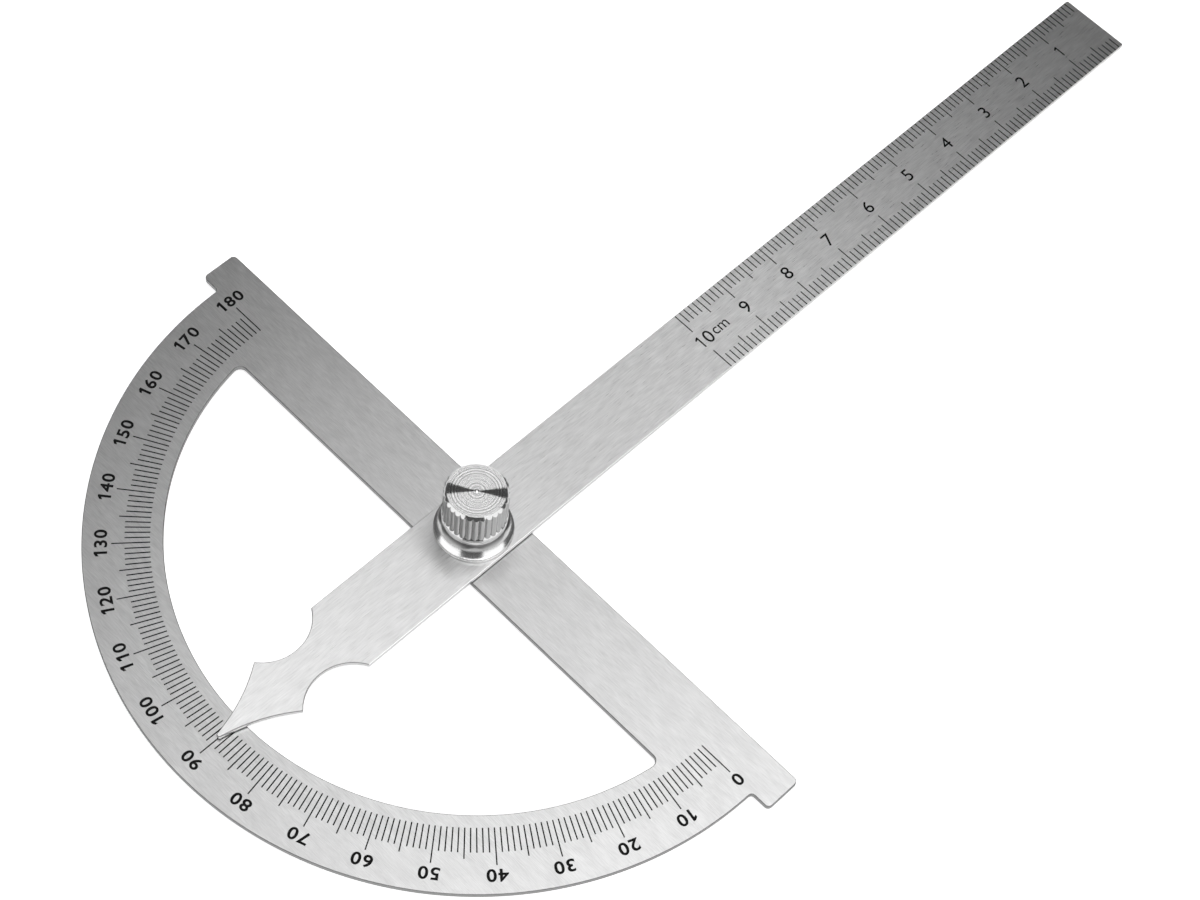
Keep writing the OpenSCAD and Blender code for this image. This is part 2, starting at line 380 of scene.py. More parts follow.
pen = Pen("screw_body", 0, 0, upright=True)
pen.line(FOOT_R, 0).arc(FOOT_R, FOOT_ROUND, 45, step=15)
pen.line(TAPER_X, TAPER_Z).line(HEAD_R, HEAD_SIDE_Z)
pen.line(HEAD_R, PLATE_Z - HEAD_BREAK).line(HEAD_R - HEAD_BREAK, PLATE_Z)
pen.line(NECK_X, PLATE_Z).line(NECK_X, RULE_Z)
pen.line(SHOULDER_R, RULE_Z).line(SHOULDER_R, SHOULDER_Z - SHOULDER_BREAK)
pen.line(SHOULDER_R - SHOULDER_BREAK, SHOULDER_Z).line(ROOT_R, SHOULDER_Z)
pen.line(ROOT_R, SCREW_TOP).line(0, SCREW_TOP)
body = pen.turned(steps=120)
measure(body)

# %% [markdown]
# ## Thread
# The thread is M4, so one turn climbs 0.7 mm. It comes into sight when the nut is slackened. Stacked
# rings would look much alike but wouldn't climb. So one tooth is drawn as a closed profile that
# starts a little inside the body, the Screw modifier winds it up, its two open ends are filled, and
# the coil is united with the body.

# %% screw thread
PITCH, TURNS, CREST_R, BURIED_R = 0.7, 9, 1.97, 1.56
TOOTH_Z, TOOTH_FLANK, TOOTH_CREST = 3.0, 0.25, 0.06
crest_z = TOOTH_Z + TOOTH_FLANK

pen = Pen("screw_thread", BURIED_R, TOOTH_Z, upright=True)
pen.line(CREST_R, crest_z).line(CREST_R, crest_z + TOOTH_CREST)
pen.line(BURIED_R, crest_z + TOOTH_CREST + TOOTH_FLANK).line(BURIED_R, TOOTH_Z)
pen.weld()
thread = apply_modifier(
    pen.done(), "SCREW", axis="Z", angle=tau, screw_offset=PITCH * MM, iterations=TURNS,
    steps=48, render_steps=48, use_merge_vertices=False,
)
bpy.ops.object.mode_set(mode="EDIT")
pen.weld()
bpy.ops.mesh.fill_holes(sides=0)
measure(pen.done())
screw = combine(body, thread, "UNION")
screw.name = screw.data.name = "threaded_screw"
smooth(screw, FLAT_TURN)
measure(screw, "pivot_screw")

# %% [markdown]
# ## Thumb nut: turned body
# The nut is turned from one bar. From below it has a rim with a small ledge, a hollow flare that
# rises to the waist, a round bead and a thin collar. Each could be a primitive of its own, but the
# reflections run over all of them, so they are one profile. The flare is an arc that stands upright
# at the waist and ends at the ledge. Above the collar the profile closes inside the knurl.

# %% nut body
RIM_R, RIM_ROUND, RIM_H = 6.2, 0.08, 0.35
LEDGE_IN, LEDGE_UP, LEDGE_TURN = 0.03, 0.05, 0.6
WAIST_R, WAIST_Z, FLARE_OUT, FLARE_H = 4.9, NUT_Z + 2.7, 1.3, 2.3
BEAD_R, BEAD_X, BEAD_Z = 0.85, 4.35, NUT_Z + 3.475
COLLAR_R, COLLAR_Z, COLLAR_T, COLLAR_BREAK = 5.2, NUT_Z + 4.25, 0.18, 0.03
CONE_R, CONE_Z = 4.401, NUT_Z + 5.2
# The ledge takes up the last LEDGE_TURN degrees of the flare's arc
flare_r = (FLARE_OUT**2 + FLARE_H**2) / (2 * FLARE_OUT)
flare_x = WAIST_R + flare_r
flare_turn = degrees(atan2(FLARE_H, flare_r - FLARE_OUT)) - LEDGE_TURN
flare_foot_x = flare_x - flare_r * cos(radians(flare_turn))
flare_foot_z = WAIST_Z - flare_r * sin(radians(flare_turn))
bead_half = sqrt(BEAD_R**2 - (WAIST_R - BEAD_X) ** 2)
bead_turn = 2 * degrees(atan2(bead_half, WAIST_R - BEAD_X))

pen = Pen("turned_nut", 0, NUT_Z, upright=True)
pen.line(RIM_R - RIM_ROUND, NUT_Z).arc(RIM_R - RIM_ROUND, NUT_Z + RIM_ROUND, 90, step=22)
pen.line(RIM_R, NUT_Z + RIM_H).line(RIM_R - LEDGE_IN, NUT_Z + RIM_H + LEDGE_UP)
pen.line(flare_foot_x, flare_foot_z).arc(flare_x, WAIST_Z, -flare_turn, step=3)
pen.line(WAIST_R, BEAD_Z - bead_half).arc(BEAD_X, BEAD_Z, bead_turn, step=6)
pen.line(WAIST_R, COLLAR_Z).line(COLLAR_R - COLLAR_BREAK, COLLAR_Z)
pen.line(COLLAR_R, COLLAR_Z + COLLAR_BREAK).line(COLLAR_R, COLLAR_Z + COLLAR_T - 2 * COLLAR_BREAK)
pen.line(COLLAR_R - COLLAR_BREAK, COLLAR_Z + COLLAR_T)
pen.line(CONE_R, CONE_Z).line(0, CONE_Z)
nut = pen.turned(steps=240)
measure(nut)

# %% [markdown]
# ## Thumb nut: knurl
# Thirty round ribs give the fingers their grip. A bump in the finish could hint at them, but they
# show in the nut's outline, so they are modelled. One rib is an arc from groove to groove, spin
# copies it round the ring, and the ring is raised like a sheet.

# %% nut knurl
RIB_COUNT, RIB_TIP, GROOVE = 30, 5.1, 4.8
KNURL_Z, KNURL_H = NUT_Z + 4.32, 7.5
half_pitch = pi / RIB_COUNT
groove_x, groove_y = GROOVE * cos(half_pitch), GROOVE * sin(half_pitch)
rib_r = (RIB_TIP**2 + GROOVE**2 - 2 * RIB_TIP * groove_x) / (2 * (RIB_TIP - groove_x))
rib_x = RIB_TIP - rib_r

pen = Pen("knurl", groove_x, -groove_y, KNURL_Z)
pen.arc(rib_x, 0, 2 * degrees(atan2(groove_y, groove_x - rib_x)), step=13)
bpy.ops.mesh.select_all(action="SELECT")
bpy.ops.mesh.spin(steps=RIB_COUNT, angle=tau, center=(0, 0, 0), axis=(0, 0, 1), dupli=True)
knurl = pen.sheet(KNURL_H)
measure(knurl)

# %% [markdown]
# ## Thumb nut: bevelled top
# After knurling, the lathe bevels the top of the ribs and faces the end, which leaves a small pip at
# the centre. A Bevel modifier would follow each rib and round its ends. The lathe's cut is round for
# all of them, so the ribs are intersected with a turned envelope that has the bevel and the pip, and
# each rib ends in a tongue. The knurl is then turned to its place and joined on.

# %% knurl envelope
NUT_TOP, ENVELOPE_R = NUT_Z + 11, 5.3
BEVEL_Z, BEVEL_R, TOP_BREAK, TOP_R = NUT_Z + 10.13, 4.67, 0.03, 4.62
PIP_X, PIP_H, RIB_START = 0.35, 0.12, 4.0
pip_r = (PIP_X**2 + PIP_H**2) / (2 * PIP_H)

pen = Pen("envelope", 0, KNURL_Z, upright=True)
pen.line(ENVELOPE_R, KNURL_Z).line(ENVELOPE_R, BEVEL_Z)
pen.line(BEVEL_R, NUT_TOP - TOP_BREAK).line(TOP_R, NUT_TOP).line(PIP_X, NUT_TOP)
pen.arc(0, NUT_TOP + PIP_H - pip_r, degrees(atan2(PIP_X, pip_r - PIP_H)), step=8)
combine(knurl, pen.turned(steps=234), "INTERSECT")
measure(knurl)
knurl.data.transform(Matrix.Rotation(radians(RIB_START), 4, "Z"))
combine(nut, knurl, "UNION")
measure(nut)

# %% [markdown]
# ## Thumb nut: tapped hole
# The hole is blind, drilled from below with a lead-in cone. Its thread could be cut with the screw's
# coil, but it can't be seen from outside, so it stays a plain bore.

# %% nut hole
TAP_R, TAP_DEPTH, LEAD_IN, BELOW, RIB_TURN = 2.05, 8.6, 0.45, 1.0, 28

pen = Pen("tap", 0, NUT_Z - BELOW, upright=True)
pen.line(TAP_R + LEAD_IN + BELOW, NUT_Z - BELOW).line(TAP_R, NUT_Z + LEAD_IN)
pen.line(TAP_R, NUT_Z + TAP_DEPTH).line(0, NUT_Z + TAP_DEPTH)
combine(nut, pen.turned(steps=96), "DIFFERENCE")
smooth(nut, RIB_TURN)
measure(nut, "thumb_nut")

# %% [markdown]
# ## Degree lines
# The lines are etched into the steel and blackened. Each degree has a short line, each fifth a longer
# one and each tenth the longest. They could be painted on with an image, but a thin solid layer of ink
# stays crisp at any distance. A long line is the short one with an extra length at its end, so three
# bars are drawn, and spin copies each one round the arc at its own step.


# %% degree lines
INK, DEGREE_LINE, BAR_FACES = 0.006, 0.2, 6
# Each row is the inner radius, the outer radius and the step in degrees
DEGREE_BARS = ((49.6, 53.5, 1), (53.5, 54.5, 5), (54.5, 55.5, 10))


def bar(name, x0, x1, width, level):
    """One line of ink from x0 to x1 along X, lying on level. Edit mode stays on."""
    bpy.ops.object.select_all(action="DESELECT")
    bpy.ops.mesh.primitive_cube_add(size=MM)
    obj = bpy.context.object
    obj.name = obj.data.name = name
    bpy.ops.object.mode_set(mode="EDIT")
    bpy.ops.mesh.select_all(action="SELECT")
    bpy.ops.transform.resize(value=(x1 - x0, width, INK))
    bpy.ops.transform.translate(value=((x0 + x1) / 2 * MM, 0, (level + INK / 2) * MM))
    return obj


def join(objects, name):
    """Joins objects into the first one and gives it a name."""
    only(objects[0])
    for obj in objects:
        obj.select_set(True)
    bpy.ops.object.join()
    objects[0].name = objects[0].data.name = name
    return objects[0]


marks = []
for inner, outer, every in DEGREE_BARS:
    marks.append(bar("degree_line", inner, outer, DEGREE_LINE, PLATE_Z + SHEET))
    bpy.ops.mesh.spin(steps=180 // every, angle=pi, center=(0, 0, 0), axis=(0, 0, 1), dupli=True)
    bpy.ops.object.mode_set(mode="OBJECT")
degree_marks = join(marks, "degree_marks")
print("bars in the degree lines:", len(degree_marks.data.polygons) // BAR_FACES)

# %% [markdown]
# ## Millimetre lines
# The rule has the same pattern along both edges, counted from its measuring tip. Each line could be
# placed in a loop, but the pattern is a plain repeat: an Array modifier sets each bar along the rule,
# and a Mirror modifier gives the other edge.

# %% rule lines
RULE_LINE, SCALE_LENGTH = 0.19, 100
# Each row is the bar's start and end, measured across the rule, and the step in millimetres
RULE_BARS = ((4.05, 6.45, 1), (3.07, 4.05, 5), (2.35, 3.07, 10))

marks = []
for start, end, every in RULE_BARS:
    obj = bar("rule_line", start, end, RULE_LINE, RULE_Z + SHEET)
    bpy.ops.transform.translate(value=(0, (TIP_Y - every) * MM, 0))
    bpy.ops.object.mode_set(mode="OBJECT")
    apply_modifier(
        obj, "ARRAY", count=SCALE_LENGTH // every, use_relative_offset=False,
        use_constant_offset=True, constant_offset_displace=(0, -every * MM, 0),
    )
    apply_modifier(obj, "MIRROR", use_axis=(True, False, False), use_mirror_merge=False)
    marks.append(obj)
rule_marks = join(marks, "rule_marks")
print("bars in the rule lines:", len(rule_marks.data.polygons) // BAR_FACES)

# %% [markdown]
# ## Figures
# The figures are blackened like the lines. All could be drawn, but most of the built-in font's signs
# are close to the real ones once they are heavier. A curve bevel thickens their strokes, and the
# result is widened a little and pressed flat to the layer of ink. The font's 1 is a bare bar, so the
# 1 is drawn with the pen, with the flag that the real one has.


# %% figures
# The flag's reach and the heights of its tip and root are parts of the figure's height
FLAG_REACH, FLAG_TIP, FLAG_ROOT = 0.2, 0.84, 0.9
# The shoulder and the flag's thickness at tip and root are parts of the stroke
SHOULDER, TIP_THICK, ROOT_THICK = 0.35, 1.05, 0.8
CURVE_STEPS = 6


def centred(obj):
    """Centres a sign on X."""
    across = [v.co.x for v in obj.data.vertices]
    obj.data.transform(Matrix.Translation((-(min(across) + max(across)) / 2, 0, 0)))
    return obj


def drawn_one(height, stroke):
    """The figure 1, standing on y = 0, with a flag that falls to the left."""
    side = stroke / 2
    flag = side + FLAG_REACH * height
    pen = Pen("figure_1", side, 0)
    pen.line(side, height).line(-SHOULDER * stroke, height).line(-flag, FLAG_TIP * height)
    pen.line(-flag, FLAG_TIP * height - TIP_THICK * stroke)
    pen.line(-side, FLAG_ROOT * height - ROOT_THICK * stroke).line(-side, 0)
    return centred(pen.sheet(INK))


def font_sign(sign, size, weight):
    """A sign of the built-in font, its strokes thicker by weight mm all round, and a little wider."""
    bpy.ops.object.select_all(action="DESELECT")
    bpy.ops.object.text_add()
    text = bpy.context.object.data
    text.body, text.size, text.extrude = sign, size * MM, INK * MM / 2
    text.bevel_depth, text.bevel_resolution, text.resolution_u = weight * MM, 0, CURVE_STEPS
    bpy.ops.object.convert(target="MESH")
    obj = bpy.context.object
    thick = max(v.co.z for v in obj.data.vertices)
    obj.data.transform(Matrix.Diagonal((1 + 2 * weight, 1, INK * MM / 2 / thick, 1)))
    obj.data.transform(Matrix.Translation((0, weight * MM, INK * MM / 2)))
    return centred(obj)


# %% [markdown]
# ## Setting the figures
# The mask for the etching has each figure many times over. Each could be made where it stands, but it
# is quicker to make it once and copy it. A copy could share its mesh, but it gets one of its own, so
# that its place can go into the mesh and the joined piece sits at the origin.


# %% setting figures
def set_figures(name, figures, places):
    """Copies figures to their places and joins them. A place is (sign, x, y, level, turn)."""
    copies = []
    for sign, x, y, level, turn in places:
        obj = figures[sign].copy()
        obj.data = figures[sign].data.copy()
        bpy.context.scene.collection.objects.link(obj)
        place = Matrix.Translation(Vector((x, y, level)) * MM) @ Matrix.Rotation(turn, 4, "Z")
        obj.data.transform(place)
        copies.append(obj)
    for obj in figures.values():
        bpy.data.objects.remove(obj)
    print(name, "signs:", len(places))
    return join(copies, name)


# %% [markdown]
# ## Degree numbers
# Bold figures stand at every tenth degree with their tops outward. A number could be one text bent
# round the arc, but with three figures at most it is enough to turn it with its line and to set its
# figures side by side.

# %% degree numbers
BOLD_SIZE, BOLD_WEIGHT, BOLD_HEIGHT, BOLD_STROKE = 2.72, 0.065, 2.05, 0.42
NUMBER_R, FIGURE_STEP = 56.1, 1.75

bold = {sign: font_sign(sign, BOLD_SIZE, BOLD_WEIGHT) for sign in "023456789"}
bold["1"] = drawn_one(BOLD_HEIGHT, BOLD_STROKE)
places = []
for degree in range(0, 181, 10):
    a = radians(degree)
    number = str(degree)
    for i, sign in enumerate(number):
        side = (i - (len(number) - 1) / 2) * FIGURE_STEP
        x = NUMBER_R * cos(a) - side * sin(a)
        y = -NUMBER_R * sin(a) - side * cos(a)
        places.append((sign, x, y, PLATE_Z + SHEET, -a - pi / 2))
degree_numbers = set_figures("degree_numbers", bold, places)

# %% [markdown]
# ## Centimetre numbers
# Light figures stand at each centimetre, their feet towards the right edge of the rule. They could be
# the bold ones again, but the real ones are taller and much thinner, so they are a set of their own.
# The last number carries the unit in smaller letters.

# %% rule numbers
LIGHT_SIZE, LIGHT_WEIGHT, LIGHT_HEIGHT, LIGHT_STROKE, UNIT_SIZE = 3.4, 0.012, 2.33, 0.26, 2.9
NUMBER_X, TEN_X, UNIT_X, CENTIMETRE = 1.15, 1.1, 0.65, 10
# Each row is a sign of the last number and its place across and along the rule
LAST_NUMBER = (("1", TEN_X, 50.7), ("0", TEN_X, 52.62), ("c", UNIT_X, 54.4), ("m", UNIT_X, 56.1))

light = {sign: font_sign(sign, LIGHT_SIZE, LIGHT_WEIGHT) for sign in "023456789"}
light.update({sign: font_sign(sign, UNIT_SIZE, 0.0) for sign in "cm"})
light["1"] = drawn_one(LIGHT_HEIGHT, LIGHT_STROKE)
places = [(str(n), NUMBER_X, TIP_Y - n * CENTIMETRE, RULE_Z + SHEET, pi / 2) for n in range(1, 10)]
for sign, x, y in LAST_NUMBER:
    places.append((sign, x, y, RULE_Z + SHEET, pi / 2))
rule_numbers = set_figures("rule_numbers", light, places)

# %% [markdown]
# ## Building finishes
# A finish is a small tree of shader nodes. It could be built by hand in the shader editor, but then
# it couldn't be read here. One function turns a screen colour such as #8a8c8e into the linear value
# that a shader needs. Another adds a node with its settings and links and hands back an output, so
# that each finish below reads like a recipe. Patterns read Object coordinates in metres, so a
# pattern's scale is one over its real size.


# %% material helpers
# Most of a noise lies between these two values
NOISE_LOW, NOISE_HIGH = 0.3, 0.7


def colour(code, level=1.0):
    """A screen colour such as #8a8c8e as linear RGBA, made lighter or darker by level."""
    parts = [int(code[i : i + 2], 16) / 255 for i in (1, 3, 5)]
    linear = [p / 12.92 if p <= 0.04045 else ((p + 0.055) / 1.055) ** 2.4 for p in parts]
    return [min(1, value * level) for value in linear] + [1.0]


def add(tree, kind, inputs=None, out=0, stops=(), **settings):
    """Adds a node and returns its output called out. An input is a value or a socket to link, and
    stops are a ramp's places and colours."""
    node = tree.nodes.new("ShaderNode" + kind)
    for key, value in settings.items():
        setattr(node, key, value)
    for i, (place, tone) in enumerate(stops):
        node.color_ramp.elements[i].position, node.color_ramp.elements[i].color = place, tone
    for key, value in (inputs or {}).items():
        if isinstance(value, bpy.types.NodeSocket):
            tree.links.new(value, node.inputs[key])
        else:
            node.inputs[key].default_value = value
    return node.outputs[out] if node.outputs else None


def material(name):
    """An empty node material and its tree."""
    mat = bpy.data.materials.new(name)
    mat.use_nodes = True
    mat.node_tree.nodes.clear()
    print("finish:", name)
    return mat, mat.node_tree


# %% [markdown]
# ## Satin steel
# Both blades are stainless steel, ground along their length and left satin. The fine scratches spread
# a highlight across the grain and keep it narrow along it, which gives brushed metal its long soft
# change from bright to dark. Roughness alone would give an even sheen, so the steel is anisotropic,
# with its tangent across the grain, where the roughness is the larger. Real scratches are 0.01 to
# 0.05 mm wide, too fine to show, so they are drawn 0.11 to 0.13 mm wide. A broader cloud keeps them
# from looking printed.


# %% satin steel
SATIN, ANISOTROPY, DENT = 0.34, 0.93, 0.01
CLOUD_LENGTH, CLOUD_WIDTH, CLOUD_SHARE = 3.0, 0.9, 0.3
# Each pair is a place on the ramp and the level of the steel's colour there
TINT_LOW, TINT_HIGH = (0.36, 0.84), (0.64, 1.12)
SHADE_FROM, SHADE_TO = 20, 65


def grain_scale(across, length, width):
    """The scale of a pattern length mm long and width mm wide. across points across the grain."""
    return [1 / (width * MM) if a else 1 / (length * MM) for a in across]


def satin_steel(name, code, across, grain, spread, bump, painted_light_levels):
    """Ground steel. grain is a scratch's length and width; the last argument is painted light, the levels
    of its colour near and far along Y.
    """
    mat, tree = material(name)
    coords = add(tree, "TexCoord", out="Object")
    streak = add(tree, "Mapping", {"Vector": coords, "Scale": grain_scale(across, *grain)})
    fine = add(tree, "TexNoise", {"Vector": streak, "Scale": 1.0, "Detail": 3.0, "Roughness": 0.6})
    cloud_scale = grain_scale(across, CLOUD_LENGTH, CLOUD_WIDTH)
    patch = add(tree, "Mapping", {"Vector": coords, "Scale": cloud_scale})
    cloud = add(tree, "TexNoise", {"Vector": patch, "Scale": 1.0, "Detail": 2.0})
    rough = add(tree, "MapRange", {
        "Value": fine, "From Min": NOISE_LOW, "From Max": NOISE_HIGH,
        "To Min": SATIN - spread, "To Max": SATIN + spread,
    })
    mottle = add(tree, "Mix", {"Factor": CLOUD_SHARE, "A": fine, "B": cloud})
    stops = [(place, colour(code, level)) for place, level in (TINT_LOW, TINT_HIGH)]
    tint = add(tree, "ValToRGB", {"Fac": mottle}, stops=stops)
    # Painted light: the colour is scaled from one level to the other between SHADE_FROM and SHADE_TO mm
    # along Y, so one end of the blade looks more lit
    place = add(tree, "SeparateXYZ", {"Vector": coords}, out="Y")
    shade = add(tree, "MapRange", {
        "Value": place, "From Min": SHADE_FROM * MM, "From Max": SHADE_TO * MM,
        "To Min": painted_light_levels[0], "To Max": painted_light_levels[1],
    })
    shaded = add(tree, "VectorMath", {0: tint, "Scale": shade}, operation="SCALE")
    dents = add(tree, "Bump", {"Height": fine, "Strength": bump, "Distance": DENT * MM})
    tangent = add(
        tree, "VectorTransform", {"Vector": across},
        vector_type="VECTOR", convert_from="OBJECT", convert_to="WORLD",
    )
    steel = add(tree, "BsdfPrincipled", {
        "Base Color": shaded, "Metallic": 1.0, "Roughness": rough,
        "Anisotropic": ANISOTROPY, "Tangent": tangent, "Normal": dents,
    })
    add(tree, "OutputMaterial", {"Surface": steel})
    return mat


# The plate's grain runs along the bar, and the steel has one level all over
plate_steel = satin_steel(
    "satin_steel_along_bar", "#dadada", (0, 1, 0), (2.0, 0.13), spread=0.06, bump=0.4, painted_light_levels=(1, 1)
)
# The rule's grain is longer and stronger, and its colour has painted light, lighter at the graduated end
# and darker towards the pointer
rule_steel = satin_steel(
    "satin_steel_along_rule", "#dedede", (1, 0, 0), (2.6, 0.11), spread=0.07, bump=0.5, painted_light_levels=(0.9, 1.14)
)

# %% [markdown]
# ## Edges, washer, screw and plating
# The other metal shows no grain from arm's length. One even roughness would look like a computer's
# metal, so the recipe for all of it is a metal whose roughness wanders a little, and no reflection
# is perfectly even.


# %% plain metals
WANDER, PATCH = 0.15, 1.5


def plain_metal(name, code, roughness):
    """A metal of one colour. Its roughness wanders by WANDER, in patches of PATCH mm."""
    mat, tree = material(name)
    coords = add(tree, "TexCoord", out="Object")
    cloud = add(tree, "TexNoise", {"Vector": coords, "Scale": 1 / (PATCH * MM), "Detail": 2.0})
    rough = add(tree, "MapRange", {
        "Value": cloud, "To Min": roughness * (1 - WANDER), "To Max": roughness * (1 + WANDER),
    })
    metal = add(tree, "BsdfPrincipled", {"Base Color": colour(code), "Metallic": 1.0, "Roughness": rough})
    add(tree, "OutputMaterial", {"Surface": metal})
    return mat


# The plate's sides get a darker grey than its face and show as a dull grey band
blanked_edge = plain_metal("blanked_edge_steel", "#9c9c9c", 0.4)
# The rule's sides are ground straight and come out nearly as light as its face
ground_edge = plain_metal("ground_edge_steel", "#dedede", 0.3)
# A tumbled edge mirrors the dim room, and its darker grey is painted shade on top, which draws a darker
# hairline round the blade
painted_dark_edge = plain_metal("painted_dark_edge_steel", "#787878", 0.35)
# The washer is rolled bright and shows as a thin light line
washer_steel = plain_metal("bright_washer_steel", "#d5d5d5", 0.22)
# The screw is turned and left as it comes, so it is greyer than the washer
screw_steel = plain_metal("half_bright_screw_steel", "#b6b6b6", 0.3)
# Bright plating mirrors the studio almost sharply on the nut's rim, bead and collar
nut_nickel = plain_metal("bright_nickel_plate", "#dcdcdc", 0.1)
# The knurl's upright faces get a darker grey than the rest of the nut, painted shade for the hollows
# between the ribs
shaded_knurl_nickel = plain_metal("knurled_nickel_painted_shade", "#b2b2b2", 0.12)

# %% [markdown]
# ## Faced top of the nut
# The lathe tool leaves ring grooves on the end face, and nickel plating keeps them. Each groove has
# two sides, one leaning inward and one outward, and each side mirrors the light overhead only over a
# part of the ring. Where neither does, two dark wedges meet at the centre, the sign of a turned face.
# A bump map this fine would blur away, so the normal itself leans to one side or the other, by turns.
# The grooves keep the real feed of the tool. The rings that come from its small slips are too fine
# to show, so they are drawn 0.24 mm wide.


# %% faced nickel
FEED, LEAN, RING, MIRROR = 0.055, 0.078, 0.24, 0.05
RING_DARK, RING_BRIGHT = (0.4, 0.72), (0.58, 1.0)


def faced_nickel(name, code):
    """Nickel over a faced end, with grooves FEED mm apart whose sides lean by LEAN."""
    mat, tree = material(name)
    coords = add(tree, "TexCoord", out="Object")
    flat = add(tree, "VectorMath", {0: coords, 1: (1, 1, 0)}, operation="MULTIPLY")
    radius = add(tree, "VectorMath", {0: flat}, out="Value", operation="LENGTH")
    outward = add(tree, "VectorMath", {0: flat}, operation="NORMALIZE")
    turns = add(tree, "Math", {0: radius, 1: tau / (FEED * MM)}, operation="MULTIPLY")
    wave = add(tree, "Math", {0: turns}, operation="SINE")
    side = add(tree, "Math", {0: wave}, operation="SIGN")
    slips = add(
        tree, "TexNoise", {"W": radius, "Scale": 1 / (RING * MM), "Detail": 1.0}, noise_dimensions="1D"
    )
    steep = add(tree, "MapRange", {
        "Value": slips, "From Min": NOISE_LOW, "From Max": NOISE_HIGH,
        "To Min": LEAN * (1 - WANDER), "To Max": LEAN * (1 + WANDER),
    })
    slope = add(tree, "Math", {0: side, 1: steep}, operation="MULTIPLY")
    sideways = add(tree, "VectorMath", {0: outward, "Scale": slope}, operation="SCALE")
    up = add(tree, "VectorMath", {0: sideways, 1: (0, 0, 1)}, operation="ADD")
    normal = add(
        tree, "VectorTransform", {"Vector": up},
        vector_type="NORMAL", convert_from="OBJECT", convert_to="WORLD",
    )
    stops = [(place, colour(code, level)) for place, level in (RING_DARK, RING_BRIGHT)]
    tint = add(tree, "ValToRGB", {"Fac": slips}, stops=stops)
    metal = add(tree, "BsdfPrincipled", {
        "Base Color": tint, "Metallic": 1.0, "Roughness": MIRROR, "Normal": normal,
    })
    add(tree, "OutputMaterial", {"Surface": metal})
    return mat


nut_top = faced_nickel("turned_nickel_face", "#d0d0d0")

# %% [markdown]
# ## Flare of the nut
# The flare is buffed. Its colour is bright below and greyer above, a painted shade for the neck
# under the bead. Two finishes with a border between them would show a step, so a ramp along the
# height runs from one to the other. A softer polish than the rim's leaves the studio's reflections
# without hard borders.


# %% buffed flare
BUFFED, SHADE_START_Z, FULL_SHADE_Z = 0.19, NUT_Z + 0.8, NUT_Z + 2.2


def buffed_nickel(name, rim, neck):
    """Nickel whose colour goes from rim to neck as it rises, painted shade that darkens it towards the
    neck.
    """
    mat, tree = material(name)
    coords = add(tree, "TexCoord", out="Object")
    height = add(tree, "SeparateXYZ", {"Vector": coords}, out="Z")
    reach = add(tree, "MapRange", {
        "Value": height, "From Min": SHADE_START_Z * MM, "From Max": FULL_SHADE_Z * MM,
    })
    # Painted shade: the ramp darkens the flare's colour as it rises towards the neck under the bead
    stops = (0, colour(rim)), (1, colour(neck))
    tint = add(tree, "ValToRGB", {"Fac": reach}, stops=stops)
    metal = add(tree, "BsdfPrincipled", {"Base Color": tint, "Metallic": 1.0, "Roughness": BUFFED})
    add(tree, "OutputMaterial", {"Surface": metal})
    return mat


flare_nickel = buffed_nickel("nickel_flare_painted_shade", "#f0f0f0", "#868686")

# %% [markdown]
# ## Blackened marks
# The etched lines and figures are filled with a matt black that is slightly uneven. Paint with its
# usual gloss would turn grey under the light that makes the steel beside it nearly white, so this
# black has hardly any gloss and stays black.


# %% scale black
MATT, GLOSS, DARK_UP_TO, WORN_FROM = 0.7, 0.12, 0.35, 0.75


def etched_black(name, dark, worn, patch):
    """Matt black that turns to the colour worn in patches of patch mm."""
    mat, tree = material(name)
    coords = add(tree, "TexCoord", out="Object")
    cloud = add(tree, "TexNoise", {"Vector": coords, "Scale": 1 / (patch * MM), "Detail": 2.0})
    stops = (DARK_UP_TO, colour(dark)), (WORN_FROM, colour(worn))
    tint = add(tree, "ValToRGB", {"Fac": cloud}, stops=stops)
    black = add(tree, "BsdfPrincipled", {
        "Base Color": tint, "Roughness": MATT, "Specular IOR Level": GLOSS,
    })
    add(tree, "OutputMaterial", {"Surface": black})
    return mat


scale_black = etched_black("blackened_scale_line", "#080808", "#1c1c1c", 0.4)

# %% [markdown]
# ## Finishes on the pieces
# One blade has three finishes: level faces are satin, upright ones are its sides and slanting ones
# its broken edges, which are painted darker as shade. They could be separate pieces, but a blade is
# one piece, so its faces are sorted by their normal. Along the rule the upper edges wear the sides'
# finish, and only the pointer keeps the painted dark ones. On the nut the flare, the knurl and the
# faced top are found by their height.


# %% finishes on the pieces
UPRIGHT, LEVEL, FACED, RIB_SIDE = 0.1, 0.97, 0.98, 0.05
FLARE_FOOT, FLARE_TOP = NUT_Z + 0.41, NUT_Z + 2.95
KNURL_FOOT, FACE_FOOT = NUT_Z + 4.5, NUT_TOP - 0.1


def dress(piece, *mats):
    """Gives a piece its materials, of which all faces wear the first."""
    piece.data.materials.clear()
    for mat in mats:
        piece.data.materials.append(mat)


def choose(piece, index, test):
    """The faces for which test(face) holds wear the material at index."""
    for face in piece.data.polygons:
        if test(face):
            face.material_index = index


for piece, steel, side in ((plate, plate_steel, blanked_edge), (rule, rule_steel, ground_edge)):
    dress(piece, steel, side, painted_dark_edge)
    choose(piece, 1, lambda face: abs(face.normal.z) < UPRIGHT)
    choose(piece, 2, lambda face: UPRIGHT < abs(face.normal.z) < LEVEL)
